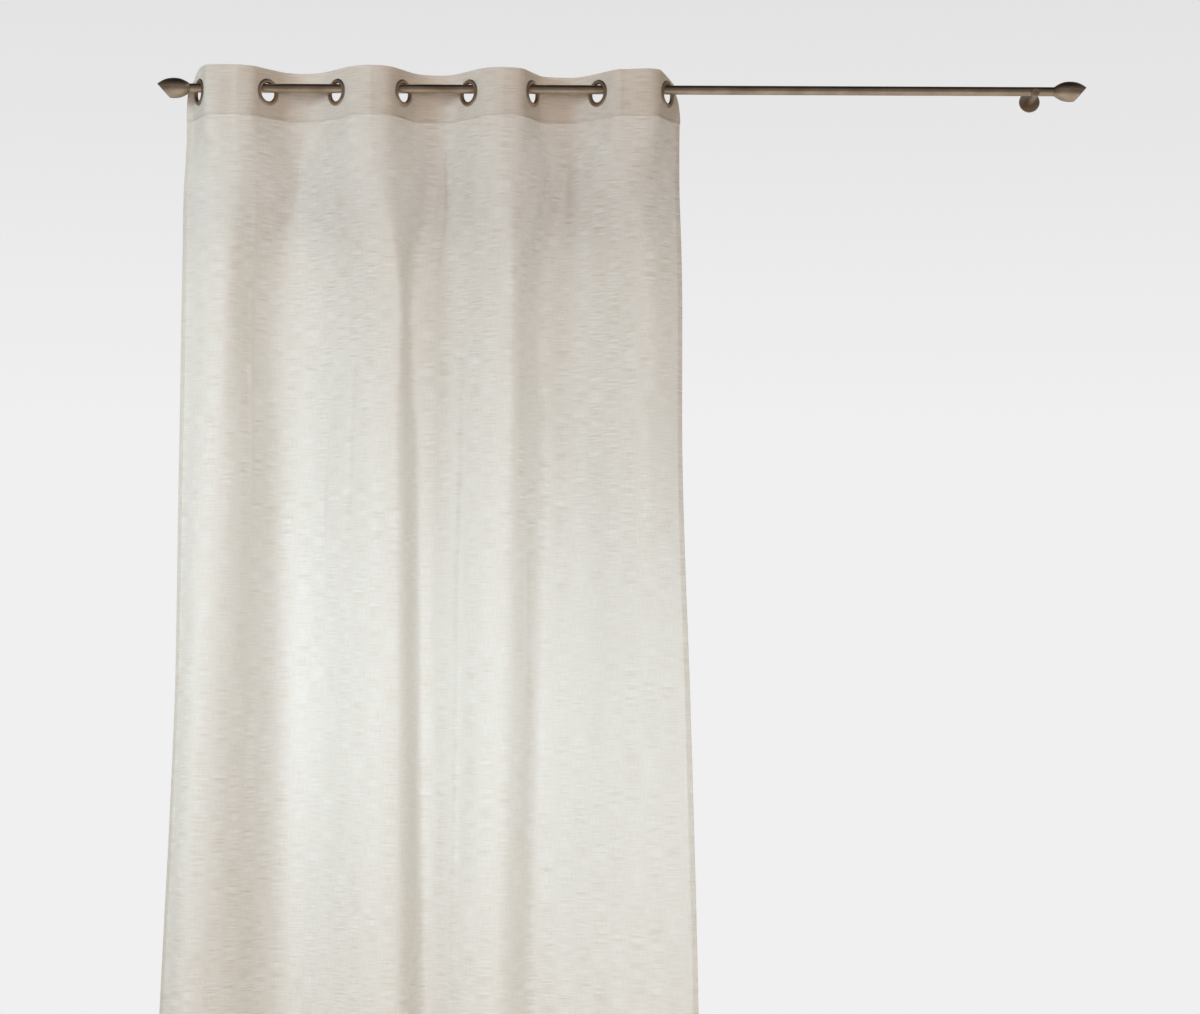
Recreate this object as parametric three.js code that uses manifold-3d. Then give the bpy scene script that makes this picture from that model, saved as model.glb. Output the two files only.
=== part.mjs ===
// A sheer voile curtain with eight eyelets on a round rod, with two wall brackets and two
// bud finials. Millimetres, +Z up. The wall is the plane y = 0 and the room lies towards -y.
// The origin is the centre of the left wall plate's back face.
import * as THREE from 'three';
import { mergeVertices } from 'three/addons/utils/BufferGeometryUtils.js';
import Module from 'manifold-3d';

const wasm = await Module();
wasm.setup();

// ---- Driving dimensions -------------------------------------------------------------------
const gap = 0.3; // kept between neighbouring pieces

const rodRadius = 10;
const rodY = -85; // the rod's axis: in front of the wall and above the brackets' axis
const rodZ = 5.5;
const rodLeft = -57;
const rodRight = 1857;
const rodSides = 32;

const bracketX = { left: 0, right: 1815 };
const plateRadius = 23;
const plateThickness = 5;
const plateChamfer = 1;
const plateSides = 32;
const armRadius = 9.2;
const armFront = -104;
const armChamfer = 1.5;
const armSides = 28;
const screwRadius = 3.8; // the grub screw in the arm's nose, which presses on the rod
const screwSocketRadius = 1.9;
const screwSocketDepth = 3;
const screwSides = 20;

const spigotRadius = 6;
const spigotLength = 24;
// Half outline of a finial before its oblique cut: distance past the rod's end, radius.
const budOutline = [
  { along: 2, radius: 10.8 },
  { along: 11, radius: 16.4 },
  { along: 23, radius: 21 },
  { along: 39, radius: 22.2 },
  { along: 56, radius: 19 },
  { along: 73, radius: 9.4 },
  { along: 82, radius: 0 },
];
// The cut runs from the tip, above the axis, to the underside, nearer the rod.
const budTip = { along: 73, up: 9.2 };
const budHeel = { along: 44, up: -22.4 };
const budSides = 32;
const budSteps = 15; // rows of facets along a finial
const cutBlock = 120; // side of the block that is cut away there

const eyeletInner = 20;
const eyeletOuter = 30;
const eyeletThickness = 8;
const eyeletFlare = 2.8; // how much its bore widens at each face
const eyeletRimChamfer = 1.8;
const barrelHalf = 1.9; // half of the straight part of its bore, between the flares
const eyeletNeck = 22.2; // radius of the barrel that passes through the cloth
const eyeletSides = 24;
const eyeletScan = 0.25; // step of the search for the height at which it clears the rod
const eyeletFlat = 31; // the cloth is flat this far to each side of an eyelet's centre

const seamZ = -61; // where the heading band ends and the single cloth starts
const headingThickness = 2.4;
const clothThickness = 1.4;
const hemThickness = 2.2;
const clothWidth = 1400; // flat width of the cloth
const sideHem = 12;
const bottomHem = 60;
const clothBottom = -2355;
const flapReach = 56; // from an outer eyelet's centre to the cloth's side edge
const flapTurn = { left: 10, right: 47 }; // how far the cloth is turned at that edge

// Eyelets from left to right: place along the rod, how far the cloth is turned there out of
// the wall's plane, in degrees, and how high its top edge stands above the rod's axis there.
// The cloth turns to the room at the first eyelet, back at the next, and so on.
const eyelets = [
  { x: -36, turn: 62, top: 45 },
  { x: 115, turn: 48, top: 43 },
  { x: 268, turn: 45, top: 43 },
  { x: 415, turn: 57, top: 42 },
  { x: 561, turn: 46, top: 40 },
  { x: 701, turn: 64, top: 38 },
  { x: 847, turn: 45, top: 36 },
  { x: 1000, turn: 62, top: 39 },
];

// Crests of the heading between the eyelets: place, reach from the rod's axis to the room
// (negative is to the wall), and the half angle of the soft crease along the crest.
const crests = [
  { x: 51, out: 41, crease: 9 },
  { x: 186, out: -46, crease: 0 },
  { x: 347, out: 49, crease: 10 },
  { x: 486, out: -48, crease: 0 },
  { x: 640, out: 49, crease: 9 },
  { x: 774, out: -46, crease: 0 },
  { x: 898, out: 42, crease: 8 },
];

// The hanging cloth at depths below the rod: place and reach of its two edges and of its
// seven folds between them, and how round the folds that stand to the room (crests) and to
// the wall (valleys) are. The reaches are then scaled until the row is as long as the flat
// cloth.
const hangLevels = [
  {
    below: 60,
    x: [-71, 51, 186, 347, 486, 640, 774, 898, 1026],
    out: [-44, 42, -44, 50, -48, 50, -48, 44, -44],
    crestGrip: 0.4,
    valleyGrip: 0.22,
  },
  {
    below: 140,
    x: [-71, 34, 190, 342, 487, 638, 776, 900, 1028],
    out: [-32, 38, -46, 52, -50, 52, -50, 44, -40],
    crestGrip: 0.38,
    valleyGrip: 0.1,
  },
  {
    below: 230,
    x: [-71, 24, 180, 360, 484, 644, 770, 910, 1029],
    out: [-18, 34, -44, 50, -46, 50, -44, 38, -28],
    crestGrip: 0.36,
    valleyGrip: 0.14,
  },
  {
    below: 350,
    x: [-72, 26, 160, 394, 460, 652, 752, 940, 1033],
    out: [-14, 28, -40, 44, -30, 42, -30, 32, -10],
    crestGrip: 0.3,
    valleyGrip: 0.32,
  },
  {
    below: 850,
    x: [-76, 16, 164, 406, 458, 654, 744, 950, 1038],
    out: [-8, 32, -38, 44, -26, 36, -22, 26, 0],
    crestGrip: 0.32,
    valleyGrip: 0.3,
  },
  {
    below: 1350,
    x: [-78, -6, 168, 414, 466, 644, 730, 956, 1056],
    out: [-4, 34, -38, 44, -26, 34, -18, 22, 14],
    crestGrip: 0.36,
    valleyGrip: 0.26,
  },
  {
    below: 1850,
    x: [-97, -24, 166, 418, 474, 634, 722, 950, 1072],
    out: [-4, 32, -38, 44, -26, 30, -16, 20, 18],
    crestGrip: 0.36,
    valleyGrip: 0.26,
  },
  {
    below: 2360,
    x: [-117, -44, 162, 422, 482, 630, 716, 950, 1084],
    out: [-4, 30, -38, 44, -26, 28, -14, 20, 22],
    crestGrip: 0.36,
    valleyGrip: 0.26,
  },
];
const relaxLength = 160; // below the seam, until the heading's shape has died away
const headingGrip = 0.36; // handle of each bend as a share of its span: fuller when larger
const leastFactor = 0.4; // bounds of the search for the scale of a row's folds
const mostFactor = 2.5;
const factorSteps = 18;

// The top corners of the cloth's end flaps sag over a reach along the heading, and lean back.
const cornerSag = { left: 28, right: 30 };
const cornerSagReach = { left: 60, right: 90 };
const cornerLean = { left: 12, right: 18 };
const cornerLeanReach = { left: flapReach - eyeletFlat, right: flapReach - eyeletFlat };
const cornerFall = 2; // powers by which this dies away down the heading and along it
const cornerSpread = 1.2;

const headingRowShares = [0, 0.22, 0.55, 1]; // of the way down the heading
const hemStep = 2; // the hems thin out to the single cloth over this width
const foldSteps = 6; // columns in each fold between two flat eyelet places
const drapeRows = 16;
const rowCrowding = 1.5; // rows stand closer near the heading
const normalStep = 0.5; // to each side of a point, to find how the cloth faces there

// ---- Finishes -----------------------------------------------------------------------------
const bronze = { color: 0x6b564a, roughness: 0.38, metalness: 0.9 };
const voile = { color: 0xd3cdc2, roughness: 0.95, metalness: 0, side: THREE.DoubleSide };
const doubledVoile = { color: 0xbdb2a3, roughness: 0.95, metalness: 0 };

// ---- Small helpers ------------------------------------------------------------------------
const radians = THREE.MathUtils.degToRad;
const object = new THREE.Group();

function addPiece(name, geometry, finish) {
  const mesh = new THREE.Mesh(geometry, new THREE.MeshStandardMaterial(finish));
  mesh.name = name;
  object.add(mesh);
  return mesh;
}

// Turns a closed geometry into a solid that can be cut.
function toSolid(geometry) {
  const bare = geometry.clone();
  bare.deleteAttribute('normal');
  bare.deleteAttribute('uv');
  const merged = mergeVertices(bare, 1e-4);
  const vertProperties = Float32Array.from(merged.attributes.position.array);
  const triVerts = Uint32Array.from(merged.index.array);
  return new wasm.Manifold(new wasm.Mesh({ numProp: 3, vertProperties, triVerts }));
}

function toGeometry(solid) {
  const { vertProperties, triVerts } = solid.getMesh();
  const geometry = new THREE.BufferGeometry();
  geometry.setAttribute('position', new THREE.BufferAttribute(vertProperties, 3));
  geometry.setIndex(new THREE.BufferAttribute(triVerts, 1));
  return geometry;
}

// A turned solid about the Y axis from rows of [radius, height], which start and end on it.
function turned(profile, sides) {
  const points = profile.map(([radius, height]) => new THREE.Vector2(radius, height));
  return new THREE.LatheGeometry(points, sides);
}

// A plain bar about the Y axis, from one y to another.
function barAlongY(radius, fromY, toY, sides) {
  return turned([[0, fromY], [radius, fromY], [radius, toY], [0, toY]], sides);
}

// ---- Rod, brackets and finials ------------------------------------------------------------
// A round bar with a socket in each end for a finial's spigot.
function makeRod() {
  const length = rodRight - rodLeft;
  const socket = spigotRadius + gap;
  const socketDepth = spigotLength + gap;
  const profile = [
    [0, socketDepth],
    [socket, socketDepth],
    [socket, 0],
    [rodRadius, 0],
    [rodRadius, length],
    [socket, length],
    [socket, length - socketDepth],
    [0, length - socketDepth],
  ];
  const rod = addPiece('rod', turned(profile, rodSides).rotateZ(-Math.PI / 2), bronze);
  rod.position.set(rodLeft, rodY, rodZ);
}

function makeWallPlate(side) {
  const profile = [
    [0, -plateThickness],
    [plateRadius - plateChamfer, -plateThickness],
    [plateRadius, -plateThickness + plateChamfer],
    [plateRadius, 0],
    [0, 0],
  ];
  addPiece(`wall_plate_${side}`, turned(profile, plateSides), bronze).position.x = bracketX[side];
}

// The arm is a bar with a notch cut down into it, in which the rod lies. Its nose, in front
// of the rod, is drilled for the grub screw.
function makeArm(side) {
  const noseSide = armFront + armChamfer;
  const profile = [
    [0, armFront],
    [armRadius - armChamfer, armFront],
    [armRadius, noseSide],
    [armRadius, -plateThickness - gap],
    [0, -plateThickness - gap],
  ];
  const seat = rodRadius + gap;
  const notchLength = 4 * armRadius;
  const round = new THREE.CylinderGeometry(seat, seat, notchLength, rodSides).rotateZ(Math.PI / 2);
  const slot = new THREE.BoxGeometry(notchLength, 2 * seat, 2 * seat).translate(0, 0, seat);
  const notch = toSolid(round).add(toSolid(slot)).translate(0, rodY, rodZ);
  const drill = barAlongY(screwRadius + gap, armFront - gap, rodY, screwSides);
  const arm = toSolid(turned(profile, armSides)).subtract(notch).subtract(toSolid(drill));
  addPiece(`arm_${side}`, toGeometry(arm), bronze).position.x = bracketX[side];
}

// The screw stands on the rod's front, below its middle, with its socket to the room.
function makeGrubScrew(side) {
  const front = armFront + 2 * gap;
  const seatHalf = Math.sqrt(rodRadius ** 2 - (rodZ - screwRadius) ** 2);
  const profile = [
    [0, front + screwSocketDepth],
    [screwSocketRadius, front + screwSocketDepth],
    [screwSocketRadius, front],
    [screwRadius, front],
    [screwRadius, rodY - seatHalf - gap],
    [0, rodY - seatHalf - gap],
  ];
  addPiece(`grub_screw_${side}`, turned(profile, screwSides), bronze).position.x = bracketX[side];
}

// A turned bud with its outer end cut off at a slant, so that it faces out and down.
function makeFinial(side) {
  const outline = new THREE.SplineCurve(budOutline.map((row) => new THREE.Vector2(row.radius, row.along)));
  const bud = outline.getPoints(budSteps).map((point) => [Math.max(point.x, 0), point.y]);
  bud[bud.length - 1][0] = 0;
  const profile = [
    [0, -spigotLength],
    [spigotRadius, -spigotLength],
    [spigotRadius, gap],
    [rodRadius, gap],
    ...bud,
  ];
  const blank = turned(profile, budSides).rotateZ(-Math.PI / 2);

  const run = budTip.along - budHeel.along;
  const rise = budTip.up - budHeel.up;
  const slope = Math.atan2(rise, run);
  const block = new THREE.BoxGeometry(cutBlock, cutBlock, cutBlock).translate(0, 0, -cutBlock / 2);
  block.rotateY(-slope).translate((budTip.along + budHeel.along) / 2, 0, (budTip.up + budHeel.up) / 2);
  const finial = addPiece(`finial_${side}`, toGeometry(toSolid(blank).subtract(toSolid(block))), bronze);
  finial.position.set(side === 'left' ? rodLeft : rodRight, rodY, rodZ);
  finial.rotation.z = side === 'left' ? Math.PI : 0;
}

// ---- The cloth's plan -----------------------------------------------------------------------
// Heading of the cloth at an eyelet: towards the room at even places in the list, counted
// from 0, and back to the wall at the others.
function headingAt(index, turn = eyelets[index].turn) {
  const angle = radians(turn);
  return new THREE.Vector2(Math.cos(angle), index % 2 === 0 ? -Math.sin(angle) : Math.sin(angle));
}

function eyeletCentre(index) {
  return new THREE.Vector2(eyelets[index].x, rodY);
}

// One smooth bend between two points, with the directions it leaves and arrives in and how
// long it keeps to each.
function bend(from, leaving, to, arriving, fromGrip, toGrip = fromGrip) {
  const span = from.distanceTo(to);
  return new THREE.CubicBezierCurve(
    from,
    from.clone().addScaledVector(leaving, span * fromGrip),
    to.clone().addScaledVector(arriving, -span * toGrip),
    to,
  );
}

// The plan of the heading: flat at each eyelet, with a bend to and from each crest.
function headingPath() {
  const path = new THREE.CurvePath();
  const last = eyelets.length - 1;
  const flap = flapReach - eyeletFlat;
  const leftTurn = headingAt(0, flapTurn.left);
  const leftFlat = eyeletCentre(0).addScaledVector(headingAt(0), -eyeletFlat);
  const leftAlong = leftTurn.clone().add(headingAt(0)).normalize();
  const leftEdge = leftFlat.clone().addScaledVector(leftAlong, -flap);
  path.add(bend(leftEdge, leftTurn, leftFlat, headingAt(0), headingGrip));
  path.add(new THREE.LineCurve(leftFlat, eyeletCentre(0).addScaledVector(headingAt(0), eyeletFlat)));
  crests.forEach((crest, index) => {
    const leave = eyeletCentre(index).addScaledVector(headingAt(index), eyeletFlat);
    const arrive = eyeletCentre(index + 1).addScaledVector(headingAt(index + 1), -eyeletFlat);
    const peak = new THREE.Vector2(crest.x, rodY - crest.out);
    const crease = radians(crest.crease);
    const up = new THREE.Vector2(Math.cos(crease), -Math.sin(crease));
    const down = new THREE.Vector2(Math.cos(crease), Math.sin(crease));
    path.add(bend(leave, headingAt(index), peak, up, headingGrip));
    path.add(bend(peak, down, arrive, headingAt(index + 1), headingGrip));
    const end = eyeletCentre(index + 1).addScaledVector(headingAt(index + 1), eyeletFlat);
    path.add(new THREE.LineCurve(arrive, end));
  });
  const rightTurn = headingAt(last, flapTurn.right);
  const rightFlat = eyeletCentre(last).addScaledVector(headingAt(last), eyeletFlat);
  const rightAlong = rightTurn.clone().add(headingAt(last)).normalize();
  const rightEdge = rightFlat.clone().addScaledVector(rightAlong, flap);
  path.add(bend(rightFlat, headingAt(last), rightEdge, rightTurn, headingGrip));
  return path;
}

// The row of the hanging cloth at a depth, with its folds scaled in reach by a factor.
function hangPath(below, factor) {
  const upper = Math.max(0, hangLevels.findLastIndex((level) => level.below <= below));
  const lower = Math.min(upper + 1, hangLevels.length - 1);
  const from = hangLevels[upper];
  const to = hangLevels[lower];
  const share = lower === upper ? 0 : (below - from.below) / (to.below - from.below);
  const points = from.x.map((x, index) => {
    const out = THREE.MathUtils.lerp(from.out[index], to.out[index], share);
    return new THREE.Vector2(THREE.MathUtils.lerp(x, to.x[index], share), rodY - factor * out);
  });
  const crestGrip = THREE.MathUtils.lerp(from.crestGrip, to.crestGrip, share);
  const valleyGrip = THREE.MathUtils.lerp(from.valleyGrip, to.valleyGrip, share);
  const grips = [valleyGrip, crestGrip];
  const path = new THREE.CurvePath();
  const level = new THREE.Vector2(1, 0);
  for (let index = 0; index + 1 < points.length; index++) {
    const straight = points[index + 1].clone().sub(points[index]).normalize();
    const leaving = index === 0 ? straight : level;
    const arriving = index + 2 === points.length ? straight : level;
    const fromGrip = grips[index % 2];
    const toGrip = grips[(index + 1) % 2];
    path.add(bend(points[index], leaving, points[index + 1], arriving, fromGrip, toGrip));
  }
  return path;
}

// The same row with its folds as deep as the flat width of the cloth asks.
function fullLengthRow(below) {
  let shallow = leastFactor;
  let deep = mostFactor;
  for (let step = 0; step < factorSteps; step++) {
    const middle = (shallow + deep) / 2;
    if (hangPath(below, middle).getLength() < clothWidth) {
      shallow = middle;
    } else {
      deep = middle;
    }
  }
  return hangPath(below, shallow);
}

const heading = headingPath();
const headingLength = heading.getLength();

// Columns of the cloth, as distances along the heading.
function clothColumns() {
  const columns = [0, sideHem, sideHem + hemStep];
  const lengths = heading.getCurveLengths();
  let centre = lengths[0] + eyeletFlat;
  for (let index = 0; index < eyelets.length; index++) {
    columns.push(centre - eyeletFlat, centre, centre + eyeletFlat);
    if (index < crests.length) {
      const lineEnd = lengths[3 * index + 1];
      const peak = lengths[3 * index + 2];
      const nextLine = lengths[3 * index + 3];
      const half = foldSteps / 2;
      for (let step = 1; step < half; step++) {
        columns.push(THREE.MathUtils.lerp(lineEnd, peak, step / half));
      }
      columns.push(peak);
      for (let step = 1; step < half; step++) {
        columns.push(THREE.MathUtils.lerp(peak, nextLine, step / half));
      }
      centre = nextLine + eyeletFlat;
    }
  }
  columns.push(headingLength - sideHem - hemStep, headingLength - sideHem, headingLength);
  return columns;
}

const columns = clothColumns();

// A row's plan: for each column its point and the unit normal that faces the room.
function rowPlan(pathPoint) {
  return columns.map((distance) => {
    const before = pathPoint(Math.max(distance - normalStep, 0));
    const after = pathPoint(Math.min(distance + normalStep, headingLength));
    const along = after.clone().sub(before).normalize();
    return { point: pathPoint(distance), normal: new THREE.Vector2(along.y, -along.x) };
  });
}

// ---- Cloth solids ---------------------------------------------------------------------------
// A closed sheet from rows of { point, normal, z, half }, with half its thickness to each side.
function sheetGeometry(rows) {
  const positions = [];
  const width = rows[0].length;
  for (const side of [1, -1]) {
    for (const row of rows) {
      for (const { point, normal, z, half } of row) {
        positions.push(point.x + side * half * normal.x, point.y + side * half * normal.y, z);
      }
    }
  }
  const back = rows.length * width;
  const index = [];
  const quad = (a, b, c, d) => index.push(a, b, c, a, c, d);
  for (let r = 0; r + 1 < rows.length; r++) {
    for (let c = 0; c + 1 < width; c++) {
      const corner = r * width + c;
      quad(corner, corner + width, corner + width + 1, corner + 1);
      quad(back + corner, back + corner + 1, back + corner + width + 1, back + corner + width);
    }
    const left = r * width;
    const right = left + width - 1;
    quad(left, back + left, back + left + width, left + width);
    quad(right, right + width, back + right + width, back + right);
  }
  const bottomRow = (rows.length - 1) * width;
  for (let c = 0; c + 1 < width; c++) {
    quad(c, c + 1, back + c + 1, back + c);
    quad(bottomRow + c, back + bottomRow + c, back + bottomRow + c + 1, bottomRow + c + 1);
  }
  const geometry = new THREE.BufferGeometry();
  geometry.setAttribute('position', new THREE.Float32BufferAttribute(positions, 3));
  geometry.setIndex(index);
  return geometry;
}

// How far below the rod's axis an eyelet's centre hangs, so that its barrel just clears the
// rod when the eyelet is turned. The scan runs across the rod's width.
function hangBelow(turn) {
  const angle = radians(turn);
  const barrel = eyeletInner * Math.cos(Math.PI / eyeletSides);
  const cleared = rodRadius + gap;
  let below = 2 * eyeletInner;
  for (let across = 0; across < cleared; across += eyeletScan) {
    const rodTop = Math.sqrt(cleared ** 2 - across ** 2);
    const aside = (across + barrelHalf * Math.cos(angle)) / Math.sin(angle);
    const barrelTop = Math.sqrt(Math.max(barrel ** 2 - aside ** 2, 0));
    below = Math.min(below, barrelTop - rodTop);
  }
  return below;
}

function makeEyelet(index) {
  const groove = headingThickness / 2 + gap;
  const face = eyeletThickness / 2;
  const profile = [
    [eyeletInner, barrelHalf],
    [eyeletInner, -barrelHalf],
    [eyeletInner + eyeletFlare, -face],
    [eyeletOuter - eyeletRimChamfer, -face],
    [eyeletOuter, -groove],
    [eyeletNeck, -groove],
    [eyeletNeck, groove],
    [eyeletOuter, groove],
    [eyeletOuter - eyeletRimChamfer, face],
    [eyeletInner + eyeletFlare, face],
    [eyeletInner, barrelHalf],
  ];
  const ring = addPiece(`eyelet_${index + 1}`, turned(profile, eyeletSides), bronze);
  const direction = headingAt(index);
  ring.position.set(eyelets[index].x, rodY, rodZ - hangBelow(eyelets[index].turn));
  ring.rotation.z = Math.atan2(direction.y, direction.x);
}

// What the top corners do at a distance along the heading: a value for each side of the
// cloth, full at its edge and dying away over a reach.
function atCorners(distance, value, reach) {
  const left = Math.max(0, 1 - distance / reach.left);
  const right = Math.max(0, 1 - (headingLength - distance) / reach.right);
  return value.left * left ** cornerSpread + value.right * right ** cornerSpread;
}

// The height of the heading's top edge at a distance along it, smooth between the eyelets.
function topEdge(distance) {
  const pitch = (headingLength - 2 * flapReach) / (eyelets.length - 1);
  const place = THREE.MathUtils.clamp((distance - flapReach) / pitch, 0, eyelets.length - 1);
  const index = Math.min(Math.floor(place), eyelets.length - 2);
  const share = THREE.MathUtils.smoothstep(place - index, 0, 1);
  return rodZ + THREE.MathUtils.lerp(eyelets[index].top, eyelets[index + 1].top, share);
}

function makeHeading() {
  const plan = rowPlan((distance) => heading.getPoint(distance / headingLength));
  const rows = headingRowShares.map((share) =>
    plan.map(({ point, normal }, column) => {
      const upward = (1 - share) ** cornerFall;
      const sag = upward * atCorners(columns[column], cornerSag, cornerSagReach);
      const lean = upward * atCorners(columns[column], cornerLean, cornerLeanReach);
      const z = THREE.MathUtils.lerp(topEdge(columns[column]), seamZ, share) - sag;
      return { point: point.clone().addScaledVector(normal, -lean), normal, z, half: headingThickness / 2 };
    }),
  );
  let solid = toSolid(sheetGeometry(rows));
  const holeRadius = eyeletNeck + 2 * gap;
  eyelets.forEach(({ x, turn }, index) => {
    const direction = headingAt(index);
    const punch = barAlongY(holeRadius, -2 * headingThickness, 2 * headingThickness, eyeletSides);
    punch.rotateZ(Math.atan2(direction.y, direction.x)).translate(x, rodY, rodZ - hangBelow(turn));
    solid = solid.subtract(toSolid(punch));
  });
  addPiece('heading', toGeometry(solid), doubledVoile);
}

function makePanel() {
  const top = seamZ - gap;
  const hemLine = clothBottom + bottomHem;
  const heights = [];
  for (let row = 0; row <= drapeRows; row++) {
    heights.push(THREE.MathUtils.lerp(top, hemLine, (row / drapeRows) ** rowCrowding));
  }
  heights.push(hemLine - hemStep, clothBottom);
  const rows = heights.map((z) => {
    const hanging = fullLengthRow(rodZ - z);
    const share = THREE.MathUtils.smoothstep(top - z, 0, relaxLength);
    const plan = rowPlan((distance) =>
      heading.getPoint(distance / headingLength).lerp(hanging.getPoint(distance / headingLength), share),
    );
    return plan.map(({ point, normal }, column) => {
      const fromEdge = Math.min(columns[column], headingLength - columns[column]);
      const hemmed = fromEdge <= sideHem || z < hemLine;
      return { point, normal, z, half: (hemmed ? hemThickness : clothThickness) / 2 };
    });
  });
  addPiece('panel', sheetGeometry(rows), voile);
}

makeRod();
for (const side of ['left', 'right']) {
  makeWallPlate(side);
  makeArm(side);
  makeGrubScrew(side);
  makeFinial(side);
}
eyelets.forEach((_, index) => makeEyelet(index));
makeHeading();
makePanel();

export default object;
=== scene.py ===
from math import ceil, cos, pi, radians, sin

import bmesh
import bpy
import numpy as np
from mathutils import Matrix, Vector, noise


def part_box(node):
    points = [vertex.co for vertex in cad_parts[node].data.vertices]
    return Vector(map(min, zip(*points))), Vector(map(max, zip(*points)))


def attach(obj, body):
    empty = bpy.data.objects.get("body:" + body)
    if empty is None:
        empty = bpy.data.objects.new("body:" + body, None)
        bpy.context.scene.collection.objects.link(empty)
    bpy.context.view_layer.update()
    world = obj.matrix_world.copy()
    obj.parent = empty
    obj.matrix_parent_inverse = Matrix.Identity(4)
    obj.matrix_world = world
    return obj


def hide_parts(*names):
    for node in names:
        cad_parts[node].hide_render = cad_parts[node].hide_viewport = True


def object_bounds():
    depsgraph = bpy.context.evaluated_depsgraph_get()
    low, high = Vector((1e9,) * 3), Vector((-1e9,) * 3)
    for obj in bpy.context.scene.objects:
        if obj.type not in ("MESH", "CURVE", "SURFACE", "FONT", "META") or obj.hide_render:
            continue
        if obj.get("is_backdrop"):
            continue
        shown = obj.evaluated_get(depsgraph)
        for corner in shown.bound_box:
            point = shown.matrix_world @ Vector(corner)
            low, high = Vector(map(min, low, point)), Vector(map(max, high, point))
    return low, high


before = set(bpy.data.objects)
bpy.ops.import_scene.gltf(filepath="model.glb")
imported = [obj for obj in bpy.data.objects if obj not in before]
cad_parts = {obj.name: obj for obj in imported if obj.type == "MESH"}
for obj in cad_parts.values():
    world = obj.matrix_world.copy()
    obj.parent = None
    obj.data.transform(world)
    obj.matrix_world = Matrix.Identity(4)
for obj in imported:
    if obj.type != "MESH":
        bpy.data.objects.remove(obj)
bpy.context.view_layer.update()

# Shapes are worked out in millimetres in the frame's axes: X along the rod, Y from the room to
# the wall, Z up. They turn to metres when a mesh is made.
mm = 0.001
scene = bpy.context.scene


def addPiece(name, points, faces, finish, flatPlaces=None, sharpAngle=35):
    mesh = bpy.data.meshes.new(name)
    mesh.from_pydata((np.asarray(points, float) * mm).tolist(), [], faces)
    if flatPlaces is not None:  # where each point lies on the flat cloth, in metres
        layer = mesh.uv_layers.new(name="flatCloth")
        corners = np.zeros(len(mesh.loops), int)
        mesh.loops.foreach_get("vertex_index", corners)
        layer.uv.foreach_set("vector", (np.asarray(flatPlaces)[corners] * mm).ravel())
    mesh.validate()
    piece = bpy.data.objects.new(name, mesh)
    scene.collection.objects.link(piece)
    return finishPiece(piece, finish, sharpAngle)


def finishPiece(piece, finish, sharpAngle=35):
    mesh = piece.data
    mesh.shade_smooth()
    mesh.set_sharp_from_angle(angle=radians(sharpAngle))
    mesh.materials.clear()
    mesh.materials.append(finish)
    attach(piece, "root")
    return piece


def gridFaces(rows, columns, closed=False):
    faces = []
    for row in range(rows - 1):
        for column in range(columns if closed else columns - 1):
            right = (column + 1) % columns
            faces.append((row * columns + column, row * columns + right,
                          (row + 1) * columns + right, (row + 1) * columns + column))
    return faces


def roundCorners(profile, radius, steps=4):
    # each inner corner of a profile gives way to a small arc
    profile = [np.array(row, float) for row in profile]
    smooth = [profile[0]]
    for before, corner, after in zip(profile, profile[1:], profile[2:]):
        back, on = before - corner, after - corner
        reach = min(radius, 0.45 * np.linalg.norm(back), 0.45 * np.linalg.norm(on))
        start = corner + back / np.linalg.norm(back) * reach
        end = corner + on / np.linalg.norm(on) * reach
        for step in range(steps + 1):
            share = step / steps
            smooth.append((1 - share) ** 2 * start + 2 * share * (1 - share) * corner
                          + share ** 2 * end)
    return smooth + [profile[-1]]


def turned(profile, sides, hexRows=()):
    # points and faces of a turned solid about Z from rows of (radius, height); a row in
    # hexRows is a hexagon with that radius across its flats
    points, rings = [], []
    for number, (radius, height) in enumerate(profile):
        if radius < 1e-6:
            rings.append([len(points)])
            points.append((0, 0, height))
            continue
        rings.append(list(range(len(points), len(points) + sides)))
        for side in range(sides):
            angle = 2 * pi * side / sides
            reach = radius
            if number in hexRows:
                reach = radius / cos((angle % (pi / 3)) - pi / 6)
            points.append((reach * cos(angle), reach * sin(angle), height))
    faces = []
    for low, high in zip(rings, rings[1:]):
        for side in range(sides):
            after = (side + 1) % sides
            corners = [low[side % len(low)], low[after % len(low)],
                       high[after % len(high)], high[side % len(high)]]
            faces.append(tuple(dict.fromkeys(corners)))
    return points, faces


def standing(points, direction, place):
    # turned points with their axis laid along a direction, at a place
    turn = Vector(direction).to_track_quat("Z", "Y").to_matrix()
    return [turn @ Vector(point) + Vector(place) for point in points]


def smoothstep(low, high, value):
    share = np.clip((value - low) / (high - low), 0, 1)
    return share * share * (3 - 2 * share)


def smoothThrough(knots, values, at):
    # a smooth curve through rows of values that stand at knots
    knots, values = np.asarray(knots, float), np.asarray(values, float)
    slopes = np.gradient(values, knots, axis=0)
    at = np.clip(at, knots[0], knots[-1])
    index = int(np.clip(np.searchsorted(knots, at) - 1, 0, len(knots) - 2))
    span = knots[index + 1] - knots[index]
    share = (at - knots[index]) / span
    rest = 1 - share
    return ((1 + 2 * share) * rest ** 2 * values[index]
            + share * rest ** 2 * span * slopes[index]
            + share ** 2 * (3 - 2 * share) * values[index + 1]
            - share ** 2 * rest * span * slopes[index + 1])


def colour(hexValue):
    parts = [int(hexValue[start:start + 2], 16) / 255 for start in (1, 3, 5)]
    return [part / 12.92 if part <= 0.04045 else ((part + 0.055) / 1.055) ** 2.4
            for part in parts] + [1]


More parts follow.
